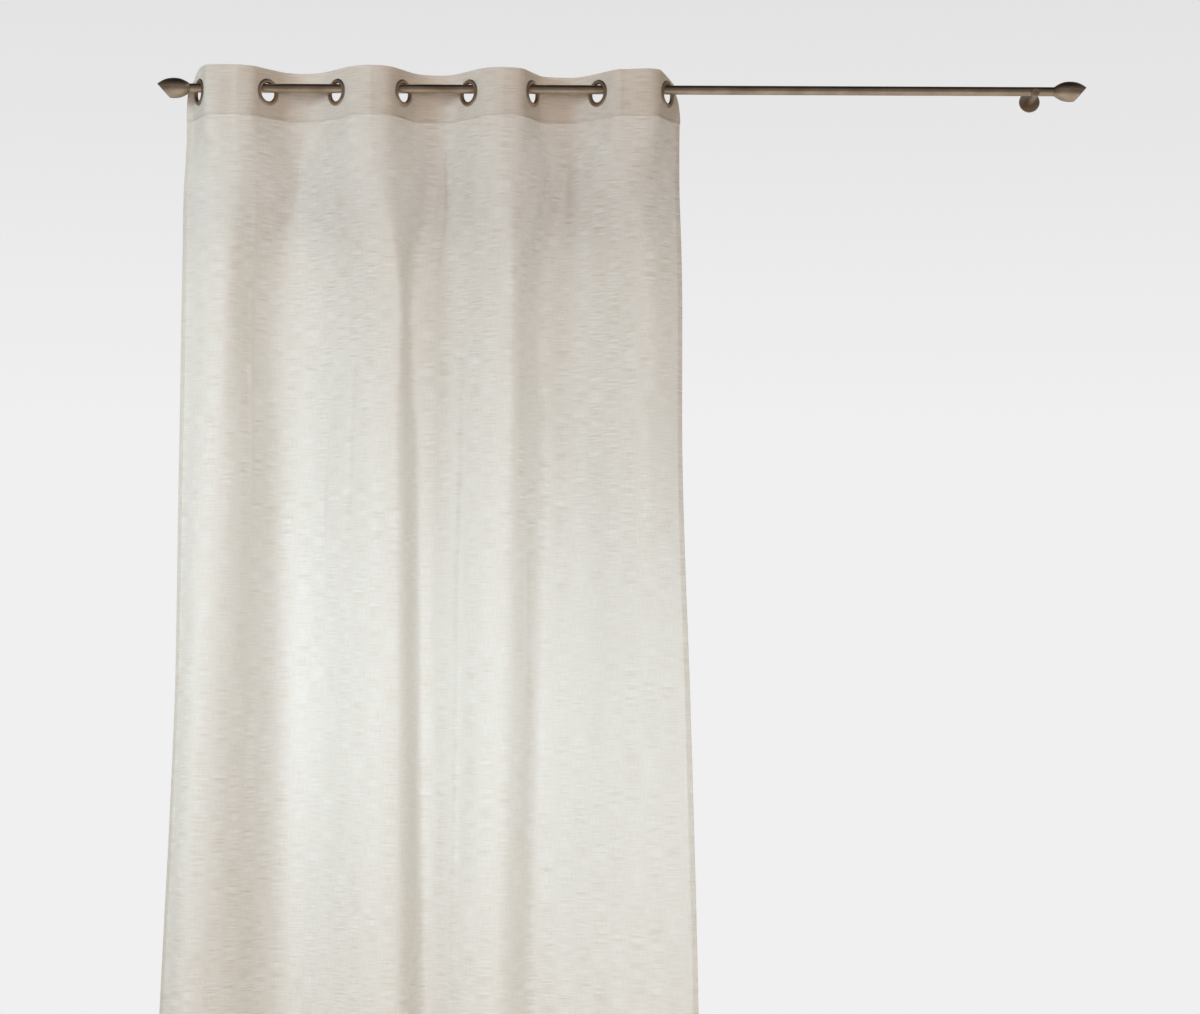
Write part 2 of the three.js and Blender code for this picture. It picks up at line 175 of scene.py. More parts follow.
def addNode(tree, kind, settings=None, links=None):
    node = tree.nodes.new(kind)
    for name, value in (settings or {}).items():
        if isinstance(name, int) or name in node.inputs:
            node.inputs[name].default_value = value
        else:
            setattr(node, name, value)
    for name, source in (links or {}).items():
        tree.links.new(source, node.inputs[name])
    return node


def newMaterial(name):
    material = bpy.data.materials.new(name)
    material.use_nodes = True
    material.node_tree.nodes.clear()
    return material, material.node_tree


noiseRange = {"From Min": 0.3, "From Max": 0.7}  # nearly all of a noise's values lie in it

clothWidth = 1412  # of the flat cloth, along its heading
voile = {
    "yarn": "#e0dbd2",  # ecru flax and polyester yarn
    "slub": "#cdc2b4",  # thicker, less bleached stretches of it
    "cover": 0.90,  # share of the cloth that is yarn and not gap
    "letThrough": 0.55,  # share of the yarn's light that comes through one layer
    "letThroughDoubled": 0.46,  # and through each layer of the heading
    "layers": [  # cell across and down in mm, and the cover that each adds or takes; a real
        # weft yarn is 0.4 mm thick, and is drawn five times as thick here so that it shows
        {"cell": (42, 2.0), "detail": 1, "cover": 0.075},
        {"cell": (1.8, 32), "detail": 1, "cover": 0.03},
        {"cell": (160, 110), "detail": 1, "cover": 0.015},
    ],
    "headingCoverGain": 0.08,  # its stiffening fills some of the gaps
    "relief": 0.09,
    "reliefStrength": 0.6,
    "roughness": 0.9,
    "specular": 0.25,
    "sheen": 0.15,
    "sheenRoughness": 0.5,
    "hemCover": 0.55,  # of the hems' back layer, whose gaps line up with the front's
    "hemStart": 2,  # from the fold to where that holds in full
}


def makeVoile(name, letThrough, coverGain=0.0):
    # Linen-look voile: plain weave of fine ecru yarn with slubs in the weft. It is matt and
    # sheer, with short level streaks where the weft is thick, and softer upright ones.
    material, tree = newMaterial(name)
    places = addNode(tree, "ShaderNodeUVMap", {"uv_map": "flatCloth"})
    thickness, covered = [], None
    # each layer of noise adds to the least cover, so that the mean is the cover asked for
    least = voile["cover"] + coverGain - sum(layer["cover"] for layer in voile["layers"])
    for layer in voile["layers"]:
        scale = [1 / (size * mm) for size in layer["cell"]] + [1]
        mapped = addNode(tree, "ShaderNodeMapping", {"Scale": scale},
                         {"Vector": places.outputs["UV"]})
        cells = addNode(tree, "ShaderNodeTexNoise", {"Scale": 1, "Detail": layer["detail"]},
                        {"Vector": mapped.outputs["Vector"]})
        thickness.append(addNode(tree, "ShaderNodeMapRange", noiseRange,
                                 {"Value": cells.outputs["Fac"]}))
        gain = {"operation": "MULTIPLY_ADD", 1: 2 * layer["cover"], 2: least}
        below = {2: covered.outputs[0]} if covered else {}
        covered = addNode(tree, "ShaderNodeMath", gain, {0: thickness[-1].outputs[0], **below})
    yarn = addNode(tree, "ShaderNodeMix", {"data_type": "RGBA", 6: colour(voile["yarn"]),
                   7: colour(voile["slub"])}, {"Factor": thickness[0].outputs[0]})
    height = addNode(tree, "ShaderNodeMath", {"operation": "ADD"},
                     {0: thickness[0].outputs[0], 1: thickness[1].outputs[0]})
    relief = addNode(tree, "ShaderNodeBump", {"Strength": voile["reliefStrength"],
                     "Distance": voile["relief"] * mm}, {"Height": height.outputs[0]})
    raised = {"Normal": relief.outputs["Normal"]}
    finish = {"Roughness": voile["roughness"], "Specular IOR Level": voile["specular"],
              "Sheen Weight": voile["sheen"], "Sheen Roughness": voile["sheenRoughness"]}
    face = addNode(tree, "ShaderNodeBsdfPrincipled", finish,
                   {"Base Color": yarn.outputs[2], **raised})
    through = addNode(tree, "ShaderNodeBsdfTranslucent", {}, {"Color": yarn.outputs[2], **raised})
    lit = addNode(tree, "ShaderNodeMixShader", {0: letThrough},
                  {1: face.outputs[0], 2: through.outputs[0]})
    gaps = addNode(tree, "ShaderNodeBsdfTransparent")
    # the back layer of a side hem lies past the edge of the flat cloth
    place = addNode(tree, "ShaderNodeSeparateXYZ", {}, {0: places.outputs["UV"]})
    fromMiddle = addNode(tree, "ShaderNodeMath", {"operation": "SUBTRACT", 1: clothWidth / 2 * mm},
                         {0: place.outputs["X"]})
    fromMiddle = addNode(tree, "ShaderNodeMath", {"operation": "ABSOLUTE"},
                         {0: fromMiddle.outputs[0]})
    hemStart = clothWidth / 2 + voile["hemStart"]
    turnedIn = addNode(tree, "ShaderNodeMapRange",
                       {"From Min": clothWidth / 2 * mm, "From Max": hemStart * mm, "To Min": 1,
                        "To Max": voile["hemCover"]}, {"Value": fromMiddle.outputs[0]})
    covered = addNode(tree, "ShaderNodeMath", {"operation": "MULTIPLY"},
                      {0: covered.outputs[0], 1: turnedIn.outputs[0]})
    cloth = addNode(tree, "ShaderNodeMixShader", {},
                    {0: covered.outputs[0], 1: gaps.outputs[0], 2: lit.outputs[0]})
    addNode(tree, "ShaderNodeOutputMaterial", {}, {"Surface": cloth.outputs[0]})
    return material


thread = {
    "shade": "#cfc6b6",
    "light": "#ded7ca",
    "plyCell": 0.4,
    "roughness": 0.55,
    "radius": 0.24,
    "stitch": 2.5,  # length of a stitch, and from one to the next
    "pitch": 3.1,
    "fromHemEdge": 1.5,
}


def makeThread():
    # Polyester sewing thread of two twisted plies: a little brighter and glossier than the yarn.
    material, tree = newMaterial("polyesterThread")
    places = addNode(tree, "ShaderNodeTexCoord")
    plies = addNode(tree, "ShaderNodeTexNoise",
                    {"Scale": 1 / (thread["plyCell"] * mm), "Detail": 0},
                    {"Vector": places.outputs["Object"]})
    shade = addNode(tree, "ShaderNodeMix", {"data_type": "RGBA", 6: colour(thread["shade"]),
                    7: colour(thread["light"])}, {"Factor": plies.outputs["Fac"]})
    face = addNode(tree, "ShaderNodeBsdfPrincipled", {"Roughness": thread["roughness"]},
                   {"Base Color": shade.outputs[2]})
    addNode(tree, "ShaderNodeOutputMaterial", {}, {"Surface": face.outputs[0]})
    return material


bronze = {
    "metal": "#cdb9a6",
    "patina": "#a6927f",
    "roughness": (0.26, 0.36),
    "grainCell": (40, 0.6, 0.6),  # hairlines along the rod
    "patinaCell": (60, 25, 25),
    "relief": 0.01,
    "reliefStrength": 0.3,
    "eyeletRoughness": (0.3, 0.4),
    "eyeletGrainCell": (3, 3, 3),  # the eyelets are tumbled, not brushed
}


def makeBronze(name, grainCell, roughness):
    # Steel tube and zinc castings with a brushed antique bronze plating under lacquer: fine
    # hairlines that draw reflections out, and a patina that is a little uneven.
    material, tree = newMaterial(name)
    places = addNode(tree, "ShaderNodeTexCoord")
    spread = {}
    for key, cell in {"grain": grainCell, "patina": bronze["patinaCell"]}.items():
        mapped = addNode(tree, "ShaderNodeMapping", {"Scale": [1 / (size * mm) for size in cell]},
                         {"Vector": places.outputs["Object"]})
        cells = addNode(tree, "ShaderNodeTexNoise", {"Scale": 1, "Detail": 3},
                        {"Vector": mapped.outputs["Vector"]})
        spread[key] = addNode(tree, "ShaderNodeMapRange", noiseRange,
                              {"Value": cells.outputs["Fac"]})
    shade = addNode(tree, "ShaderNodeMix", {"data_type": "RGBA", 6: colour(bronze["metal"]),
                    7: colour(bronze["patina"])}, {"Factor": spread["patina"].outputs[0]})
    relief = addNode(tree, "ShaderNodeBump", {"Strength": bronze["reliefStrength"],
                     "Distance": bronze["relief"] * mm}, {"Height": spread["grain"].outputs[0]})
    gloss = addNode(tree, "ShaderNodeMapRange", {"To Min": roughness[0], "To Max": roughness[1]},
                    {"Value": spread["grain"].outputs[0]})
    face = addNode(tree, "ShaderNodeBsdfPrincipled", {"Metallic": 1},
                   {"Base Color": shade.outputs[2], "Roughness": gloss.outputs[0],
                    "Normal": relief.outputs["Normal"]})
    addNode(tree, "ShaderNodeOutputMaterial", {}, {"Surface": face.outputs[0]})
    return material


voileCloth = makeVoile("slubbedLinenVoile", voile["letThrough"])
headingVoile = makeVoile("doubledHeadingVoile", voile["letThroughDoubled"],
                         voile["headingCoverGain"])
sewingThread = makeThread()
brushedBronze = makeBronze("brushedAntiqueBronze", bronze["grainCell"], bronze["roughness"])
eyeletBronze = makeBronze("platedEyeletBronze", bronze["eyeletGrainCell"],
                          bronze["eyeletRoughness"])
print("materials made")

rodLow, rodHigh = [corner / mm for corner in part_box("rod")]
rodRadius = (rodHigh.z - rodLow.z) / 2
rodY = (rodHigh.y + rodLow.y) / 2
rodZ = (rodHigh.z + rodLow.z) / 2
clearance = 0.3  # between pieces that lie against each other

rod = {"sides": 96, "edge": 0.6}
finial = {
    "sides": 96,
    "collar": {"proud": 0.1, "length": 1.4, "edge": 0.3},
    "outline": [  # along, radius
        (2, 10.8), (11, 16.4), (23, 21), (39, 22.2), (56, 19), (73, 9.4), (82, 0),
    ],
    "outlineSteps": 48,
    "cutTip": (73, 9.2),  # along and up of the slanted cut's two ends
    "cutHeel": (44, -22.4),
    "cutEdge": 0.7,
}
bracket = {
    "plateRadius": 23,
    "plateThickness": 5,
    "plateEdge": 1.2,
    "plateSides": 96,
    "armRadius": 9.2,
    "armFront": -104,
    "armEdge": 1.5,
    "armSides": 64,
    "notchSteps": 24,
    "drillStart": 5,  # in front of the arm's nose
    "drillLength": 25,
    "screwRadius": 3.8,
    "screwSocket": 1.9,
    "screwSocketDepth": 3,
    "screwEdge": 0.4,
    "screwSides": 48,
}


def makeRod():
    length = rodHigh.x - rodLow.x
    profile = roundCorners([(0, 0), (rodRadius, 0), (rodRadius, length), (0, length)], rod["edge"])
    points, faces = turned(profile, rod["sides"])
    points = standing(points, (1, 0, 0), (rodLow.x, rodY, rodZ))
    piece = addPiece("rodTube", points, faces, brushedBronze)
    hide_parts("rod")


def makeFinial(side):
    outline = finial["outline"]
    bud = [smoothThrough(range(len(outline)), outline, step / finial["outlineSteps"]
                         * (len(outline) - 1)) for step in range(finial["outlineSteps"] + 1)]
    collar = finial["collar"]
    profile = [(0, clearance), (rodRadius, clearance),
               (rodRadius + collar["proud"], collar["length"])]
    profile = roundCorners(profile, collar["edge"])
    profile += [(max(radius, 0), along) for along, radius in bud]
    points, faces = turned(profile, finial["sides"])
    points = standing(points, (1, 0, 0), (0, 0, 0))
    mesh = bmesh.new()
    for point in points:
        mesh.verts.new(point)
    mesh.verts.ensure_lookup_table()
    for face in faces:
        mesh.faces.new([mesh.verts[index] for index in face])
    (tipAlong, tipUp), (heelAlong, heelUp) = finial["cutTip"], finial["cutHeel"]
    outward = Vector((tipUp - heelUp, 0, heelAlong - tipAlong))
    geometry = mesh.verts[:] + mesh.edges[:] + mesh.faces[:]
    cut = bmesh.ops.bisect_plane(mesh, geom=geometry, plane_co=(tipAlong, 0, tipUp),
                                 plane_no=outward, clear_outer=True)["geom_cut"]
    rim = [part for part in cut if isinstance(part, bmesh.types.BMEdge)]
    bmesh.ops.edgenet_fill(mesh, edges=rim)
    bmesh.ops.bevel(mesh, geom=rim, offset=finial["cutEdge"], segments=3, profile=0.5,
                    affect="EDGES")
    mesh.verts.index_update()
    turn = -1 if side == "left" else 1
    end = rodLow.x if side == "left" else rodHigh.x
    points = [(end + turn * vert.co.x, rodY + turn * vert.co.y, rodZ + vert.co.z)
              for vert in mesh.verts]
    faces = [[vert.index for vert in face.verts] for face in mesh.faces]
    mesh.free()
    piece = addPiece(f"finialBud_{side}", points, faces, brushedBronze)
    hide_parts(f"finial_{side}")


def makeWallPlate(side, x):
    radius, thickness = bracket["plateRadius"], bracket["plateThickness"]
    profile = roundCorners([(0, 0), (radius, 0), (radius, thickness), (0, thickness)],
                           bracket["plateEdge"])
    points, faces = turned(profile, bracket["plateSides"])
    points = standing(points, (0, -1, 0), (x, 0, 0))
    piece = addPiece(f"wallRose_{side}", points, faces, brushedBronze)
    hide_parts(f"wall_plate_{side}")


def makeArm(side, x):
    radius, back = bracket["armRadius"], -bracket["plateThickness"] - clearance
    length = back - bracket["armFront"]
    profile = roundCorners([(0, 0), (radius, 0), (radius, length), (0, length)],
                           bracket["armEdge"])
    points, faces = turned(profile, bracket["armSides"])
    arm = addPiece(f"bracketArm_{side}", standing(points, (0, -1, 0), (x, back, 0)), faces,
                   brushedBronze)
    notch = notchOutline(rodRadius + clearance)
    count = len(notch)
    points = [(x + reach, rodY + y, rodZ + z) for reach in (-2 * radius, 2 * radius)
              for y, z in notch]
    faces = [(index, (index + 1) % count, count + (index + 1) % count, count + index)
             for index in range(count)]
    faces += [tuple(range(count))[::-1], tuple(range(count, 2 * count))]
    cutOut(arm, points, faces)
    radius, length = bracket["screwRadius"] + clearance, bracket["drillLength"]
    drill, faces = turned([(0, 0), (radius, 0), (radius, length), (0, length)],
                          bracket["screwSides"])
    cutOut(arm, standing(drill, (0, 1, 0), (x, bracket["armFront"] - bracket["drillStart"], 0)),
           faces)
    arm.data.name = arm.name
    finishPiece(arm, brushedBronze)
    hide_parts(f"arm_{side}")


def notchOutline(seat):
    # a slot open to the top with a half-round floor, as (y, z) about the rod's axis
    angles = [pi + pi * step / bracket["notchSteps"] for step in range(bracket["notchSteps"] + 1)]
    floor = [(seat * cos(angle), seat * sin(angle)) for angle in angles]
    return floor + [(seat, 3 * seat), (-seat, 3 * seat)]


def cutOut(piece, points, faces):
    # takes a closed shape out of a piece
    mesh = bpy.data.meshes.new("cutter")
    mesh.from_pydata([tuple(Vector(point) * mm) for point in points], [], faces)
    tool = bpy.data.objects.new("cutter", mesh)
    scene.collection.objects.link(tool)
    cut = piece.modifiers.new("cut", "BOOLEAN")
    cut.operation, cut.solver, cut.object = "DIFFERENCE", "EXACT", tool
    bpy.context.view_layer.update()
    shaped = piece.evaluated_get(bpy.context.evaluated_depsgraph_get())
    piece.data = bpy.data.meshes.new_from_object(shaped)
    piece.modifiers.clear()
    bpy.data.objects.remove(tool)


def makeScrew(side, x):
    low, high = [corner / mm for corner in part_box(f"grub_screw_{side}")]
    depth, socket = bracket["screwSocketDepth"], bracket["screwSocket"]
    length = high.y - low.y
    profile = [(0, depth), (socket, depth), (socket, 0), (bracket["screwRadius"], 0),
               (bracket["screwRadius"], length), (0, length)]
    rounded = profile[:3] + roundCorners(profile[2:], bracket["screwEdge"])[1:]
    points, faces = turned(rounded, bracket["screwSides"], hexRows=(1, 2))
    points = standing(points, (0, 1, 0), (x, low.y, (low.z + high.z) / 2))
    piece = addPiece(f"grubScrew_{side}", points, faces, brushedBronze)
    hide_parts(f"grub_screw_{side}")


makeRod()
for side in ("left", "right"):
    plateLow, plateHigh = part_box(f"wall_plate_{side}")
    bracketX = (plateLow.x + plateHigh.x) / 2 / mm
    makeFinial(side)
    makeWallPlate(side, bracketX)
    makeArm(side, bracketX)
    makeScrew(side, bracketX)
print("rod, finials and brackets made")

eyelets = [
    {"x": -36, "turn": 62, "top": 45},
    {"x": 115, "turn": 48, "top": 43},
    {"x": 268, "turn": 45, "top": 43},
    {"x": 415, "turn": 57, "top": 42},
    {"x": 561, "turn": 46, "top": 40},
    {"x": 701, "turn": 64, "top": 38},
    {"x": 847, "turn": 45, "top": 36},
    {"x": 1000, "turn": 62, "top": 39},
]
crests = [
    {"x": 51, "out": 41, "crease": 9},
    {"x": 186, "out": -46, "crease": 0},
    {"x": 347, "out": 49, "crease": 10},
    {"x": 486, "out": -48, "crease": 0},
    {"x": 640, "out": 49, "crease": 9},
    {"x": 774, "out": -46, "crease": 0},
    {"x": 898, "out": 42, "crease": 8},
]
hangLevels = [  # the plan of the folds at some heights; a grip is how round a fold is there
    {"below": 60, "x": [-71, 51, 186, 347, 486, 640, 774, 898, 1026],
     "out": [-44, 42, -44, 50, -48, 50, -48, 44, -44], "crestGrip": 0.40, "valleyGrip": 0.22},
    {"below": 140, "x": [-71, 34, 190, 342, 487, 638, 776, 900, 1028],
     "out": [-32, 38, -46, 52, -50, 52, -50, 44, -40], "crestGrip": 0.38, "valleyGrip": 0.10},
    {"below": 230, "x": [-71, 24, 180, 360, 484, 644, 770, 910, 1029],
     "out": [-18, 34, -44, 50, -46, 50, -44, 38, -28], "crestGrip": 0.36, "valleyGrip": 0.14},
    {"below": 350, "x": [-72, 26, 160, 394, 460, 652, 752, 940, 1033],
     "out": [-14, 28, -40, 44, -30, 42, -30, 32, -10], "crestGrip": 0.30, "valleyGrip": 0.32},
    {"below": 850, "x": [-76, 16, 164, 404, 461, 652, 746, 950, 1038],
     "out": [-8, 32, -38, 37, -20, 36, -22, 26, 0], "crestGrip": 0.32, "valleyGrip": 0.30},
    {"below": 1350, "x": [-78, -6, 168, 410, 469, 641, 733, 956, 1056],
     "out": [-4, 34, -38, 35, -18, 34, -18, 22, 14], "crestGrip": 0.36, "valleyGrip": 0.26},
    {"below": 1850, "x": [-97, -24, 166, 414, 477, 631, 725, 950, 1072],
     "out": [-4, 32, -38, 35, -18, 30, -16, 20, 18], "crestGrip": 0.36, "valleyGrip": 0.26},
    {"below": 2360, "x": [-117, -44, 162, 418, 485, 627, 719, 950, 1084],
     "out": [-4, 30, -38, 36, -19, 28, -14, 20, 22], "crestGrip": 0.36, "valleyGrip": 0.26},
]
cloth = {
    "width": 1400,  # of every row below the heading
    "seam": 66.5,  # below the rod's axis, as all heights on the cloth
    "bottom": 2360.5,
    "relax": 160,  # from the seam to where the rings no longer shape the folds
    "depthRange": (0.4, 2.5),  # how far a row's depths may change to take up the cloth's width
    "halvings": 18,
    "flapReach": 56,  # from an end eyelet's centre to the cloth's edge
    "flapTurn": (10, 47),
    "eyeletFlat": 31,  # to each side of an eyelet's centre
    "headingGrip": 0.36,
    "cornerSag": (28, 30),
    "cornerSagReach": (60, 90),
    "cornerLean": (12, 18),
    "cornerLeanReach": (25, 25),
    "cornerFall": 2,
    "cornerSpread": 1.2,
    "sideHem": 12,
    "bottomHem": 60,
    "foldRadius": 0.6,
    "tuck": 6,  # of the panel's top edge up between the heading's layers
}
panelGrid = {
    "columns": 356,
    "rows": 236,
    "rowSpread": 1.1,
    "besideFold": 3,  # from a hem's fold to the first column or row of the flat cloth
    "fold": (1.4, 0.6, 0, -0.6, -1.4),  # columns round a fold, as mm past the cloth's edge
    "sideHem": (1, 0.66, 0.33),  # columns and rows on a hem's back, as shares of its width
    "bottomHem": (0.1, 0.25, 0.4375, 0.625, 0.8125, 1),
}
headingBand = {
    "half": 1.0,
    "height": 110,
    "columnPitch": 3,
    "rowPitch": 3,
    "foldSteps": 6,
    "hole": 24.5,
    "ripple": {"across": 34, "down": 60, "height": 1.3, "seed": 7, "still": (26, 46)},
}
eyelet = {
    "outline": [  # radius, and height over the ring's middle plane; the last two are the groove
        (20, 0.15), (20, 1.6), (20.5, 2.4), (21.8, 4), (24.5, 4.25), (27.4, 3.9), (29.3, 2.3),
        (30, 1.8), (29.7, 1.5), (22.2, 1.5),
    ],
    "snapLine": (20.25, 0.0),  # where the ring's two halves meet
    "edge": 0.8,
    "sides": 96,
}
placeTries = 28000  # places along the heading that are tried for an eyelet's centre


def bend(start, leaving, end, arriving, startGrip, endGrip, steps=40):
    # the points of one smooth bend, without its last
    reach = np.linalg.norm(end - start)
    share = np.linspace(0, 1, steps, endpoint=False)[:, None]
    rest = 1 - share
    return (rest ** 3 * start + 3 * rest ** 2 * share * (start + startGrip * reach * leaving)
            + 3 * rest * share ** 2 * (end - endGrip * reach * arriving) + share ** 3 * end)


def headingDirection(index, turn=None):
    turn = radians(eyelets[index]["turn"] if turn is None else turn)
    return np.array([cos(turn), -sin(turn) if index % 2 == 0 else sin(turn)])


def halfWay(one, other):
    return (one + other) / np.linalg.norm(one + other)


def eyeletCentre(index):
    return np.array([eyelets[index]["x"], rodY])


def headingPath():
    flat, grip = cloth["eyeletFlat"], cloth["headingGrip"]
    last = len(crests)
    flap = cloth["flapReach"] - flat
    edges = [headingDirection(end, turn) for end, turn in zip((0, last), cloth["flapTurn"])]
    start = eyeletCentre(0) - flat * headingDirection(0)
    path = [bend(start - flap * halfWay(edges[0], headingDirection(0)), edges[0], start,
                 headingDirection(0), grip, grip), start[None]]
    for index, crest in enumerate(crests):
        leaving, arriving = headingDirection(index), headingDirection(index + 1)
        start = eyeletCentre(index) + flat * leaving
        end = eyeletCentre(index + 1) - flat * arriving
        peak = np.array([crest["x"], rodY - crest["out"]])
        crease = radians(crest["crease"])
        path.append(bend(start, leaving, peak, np.array([cos(crease), -sin(crease)]), grip, grip))
        path.append(bend(peak, np.array([cos(crease), sin(crease)]), end, arriving, grip, grip))
        path.append(end[None])
    start = eyeletCentre(last) + flat * headingDirection(last)
    end = start + flap * halfWay(edges[1], headingDirection(last))
    path += [bend(start, headingDirection(last), end, edges[1], grip, grip), end[None]]
    return np.concatenate(path)


def travelled(path):
    return np.concatenate([[0], np.cumsum(np.linalg.norm(np.diff(path, axis=0), axis=1))])


def pointsAt(path, shares):
    gone = travelled(path)
    return np.stack([np.interp(shares * gone[-1], gone, path[:, axis]) for axis in (0, 1)], -1)


def hangPath(below, factor):
    knots = [level["below"] for level in hangLevels]
    x = smoothThrough(knots, [level["x"] for level in hangLevels], below)
    out = smoothThrough(knots, [level["out"] for level in hangLevels], below)
    grips = [smoothThrough(knots, [level[key] for level in hangLevels], below)
             for key in ("valleyGrip", "crestGrip")]
    points = np.stack([x, rodY - factor * out], -1)
    level = np.array([1.0, 0.0])
    path = []
    last = len(points) - 2
    for index in range(last + 1):
        straight = points[index + 1] - points[index]
        straight /= np.linalg.norm(straight)
        leaving = straight if index == 0 else level
        arriving = straight if index == last else level
        path.append(bend(points[index], leaving, points[index + 1], arriving,
                         grips[index % 2], grips[(index + 1) % 2]))
    return np.concatenate(path + [points[-1:]])


def fullLengthPath(below):
    # the folds at a height, as deep as it takes for the row to hold the cloth's whole width
    shallow, deep = cloth["depthRange"]
    for _ in range(cloth["halvings"]):
        middle = (shallow + deep) / 2
        if travelled(hangPath(below, middle))[-1] < cloth["width"]:
            shallow = middle
        else:
            deep = middle
    return hangPath(below, shallow)


heading = headingPath()
headingLength = travelled(heading)[-1]


def planRow(across, below):
    # the plan of the cloth at a height: a point and a room-side normal for each place across
    share = smoothstep(0, cloth["relax"], below - cloth["seam"])
    step = 0.5  # mm to each side, for the way the cloth runs there
    places = np.concatenate([across, np.clip(across - step, 0, None),
                             np.clip(across + step, None, headingLength)]) / headingLength
    plan = pointsAt(heading, places)
    if share > 0:
        plan = (1 - share) * plan + share * pointsAt(fullLengthPath(below), places)
    middle, before, after = np.split(plan, 3)
    along = after - before
    along /= np.linalg.norm(along, axis=1)[:, None]
    return middle, np.stack([along[:, 1], -along[:, 0]], -1)


creases = [  # mm across the cloth and below the rod; lean is its drift across by the lower end
    {"across": 830, "top": 420, "bottom": 2200, "lean": -14, "width": 9, "proud": 1.6},
    {"across": 480, "top": 520, "bottom": 980, "lean": 6, "width": 8, "proud": -1.4},
    {"across": 1010, "top": 900, "bottom": 1400, "lean": 10, "width": 10, "proud": 1.5},
    {"across": 192, "top": 170, "bottom": 980, "lean": 22, "width": 7, "proud": 1.3},
    {"across": 706, "top": 30, "bottom": 420, "lean": 40, "width": 9, "proud": -3.0},
    {"across": 1040, "top": 20, "bottom": 330, "lean": -12, "width": 15, "proud": -4.5},
    {"across": 682, "top": 40, "bottom": 330, "lean": -6, "width": 13, "proud": -3.0},
    {"across": 407, "top": 790, "bottom": 1030, "lean": 4, "width": 7, "proud": -1.3},
]
waves = [  # soft unevenness: size of a wave across and down, and its height
    {"across": 150, "down": 800, "height": 5.0, "seed": 3},
    {"across": 60, "down": 420, "height": 1.6, "seed": 11},
    {"across": 26, "down": 160, "height": 0.5, "seed": 23},
]
settling = {
    "creaseFade": 0.7,
    "heldShare": 0.25,  # of a wave's height, where the rings hold the cloth
    "free": (-20, 300),  # heights below the rod between which the waves come to their full height
    "fromSeam": 60,
}


def unevenness(across, below):
    # how far the cloth stands out from its plan
    proud = np.zeros(len(across))
    for crease in creases:
        length = crease["bottom"] - crease["top"]
        down = (below - crease["top"]) / length
        if not 0 < down < 1:
            continue
        fade = sin(pi * down) ** settling["creaseFade"]
        off = (across - crease["across"] - crease["lean"] * down) / crease["width"]
        proud += crease["proud"] * fade * np.exp(-off ** 2)
    held = settling["heldShare"]
    free = smoothstep(*settling["free"], below)
    for wave in waves:
        height = wave["height"] * (held + (1 - held) * free)
        proud += [height * noise.noise(Vector((place / wave["across"], below / wave["down"],
                                               wave["seed"]))) for place in across]
    return proud


seams = []  # rows of places on the cloth where a seam runs, with the way out of the cloth there


def addSeam(places, outward, stand=0.0):
    outward = np.column_stack([outward, np.zeros(len(outward))])
    seams.append((places + outward * stand, outward))


def turnedBack(past, radius):
    # where cloth that runs past an edge lies once it is folded behind: how far in from the
    # edge, and how far behind
    quarter = pi * radius / 2
    angle = np.clip(past / radius, -pi / 2, pi / 2)
    inset = radius * (1 - np.cos(angle)) + np.maximum(np.abs(past) - quarter, 0)
    return inset, radius * (1 + np.sin(angle))


def makePanel():
    radius, gap = cloth["foldRadius"], panelGrid["besideFold"]
    fold = np.array(panelGrid["fold"])
    past = np.concatenate([np.array(panelGrid["sideHem"]) * cloth["sideHem"], fold])
    inset, behind = turnedBack(past, radius)
    middle = np.linspace(gap, headingLength - gap, panelGrid["columns"])
    across = np.concatenate([inset, middle, headingLength - inset[::-1]])
    sideBehind = np.concatenate([behind, 0 * middle, behind[::-1]])
    flatAcross = np.concatenate([-past, middle, headingLength + past[::-1]])

    top, bottom = cloth["seam"] - cloth["tuck"], cloth["bottom"]
    shares = np.linspace(0, 1, panelGrid["rows"]) ** panelGrid["rowSpread"]
    body = top + (bottom - gap - top) * shares
    hemPast = np.concatenate([fold[::-1], np.array(panelGrid["bottomHem"]) * cloth["bottomHem"]])
    hemInset, hemBehind = turnedBack(hemPast, radius)
    below = np.concatenate([body, bottom - hemInset])
    rowBehind = np.concatenate([0 * body, hemBehind])
    flatDown = np.concatenate([body, bottom + hemPast])

    points, flat, normals = [], [], []
    for height, rowBack, down in zip(below, rowBehind, flatDown):
        plan, normal = planRow(across, height)
        loose = smoothstep(0, settling["fromSeam"], height - cloth["seam"])
        stand = unevenness(across, height) * loose - sideBehind - rowBack
        place = plan + normal * stand[:, None]
        points.append(np.column_stack([place, np.full(len(across), rodZ - height)]))
        flat.append(np.column_stack([flatAcross, np.full(len(across), -down)]))
        normals.append(normal)
    grid, normals = np.array(points), np.array(normals)
    sideLine = len(inset) + np.argmin(np.abs(middle - cloth["sideHem"] + thread["fromHemEdge"]))
    bottomLine = np.argmin(np.abs(bottom - cloth["bottomHem"] + thread["fromHemEdge"] - body))
    down, along = slice(0, len(body)), slice(len(inset), len(inset) + len(middle))
    for row, column in ((down, sideLine), (down, -1 - sideLine), (bottomLine, along)):
        addSeam(grid[row, column], normals[row, column])
        addSeam(grid[row, column], -normals[row, column], 2 * radius)
    faces = gridFaces(len(below), len(across))
    piece = addPiece("voilePanel", np.concatenate(points), faces, voileCloth,
                     np.concatenate(flat), 180)
    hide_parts("panel")
    return piece


def eyeletPlace(index):
    # where an eyelet's centre lies on the flat cloth, and its height below the rod's axis
    low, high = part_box(f"eyelet_{index + 1}")
    below = rodZ - (low.z + high.z) / 2 / mm
    path = pointsAt(heading, np.linspace(0, 1, placeTries + 1))
    nearest = np.argmin(np.linalg.norm(path - eyeletCentre(index), axis=1))
    return nearest / placeTries * headingLength, below


eyeletPlaces = [eyeletPlace(index) for index in range(len(eyelets))]


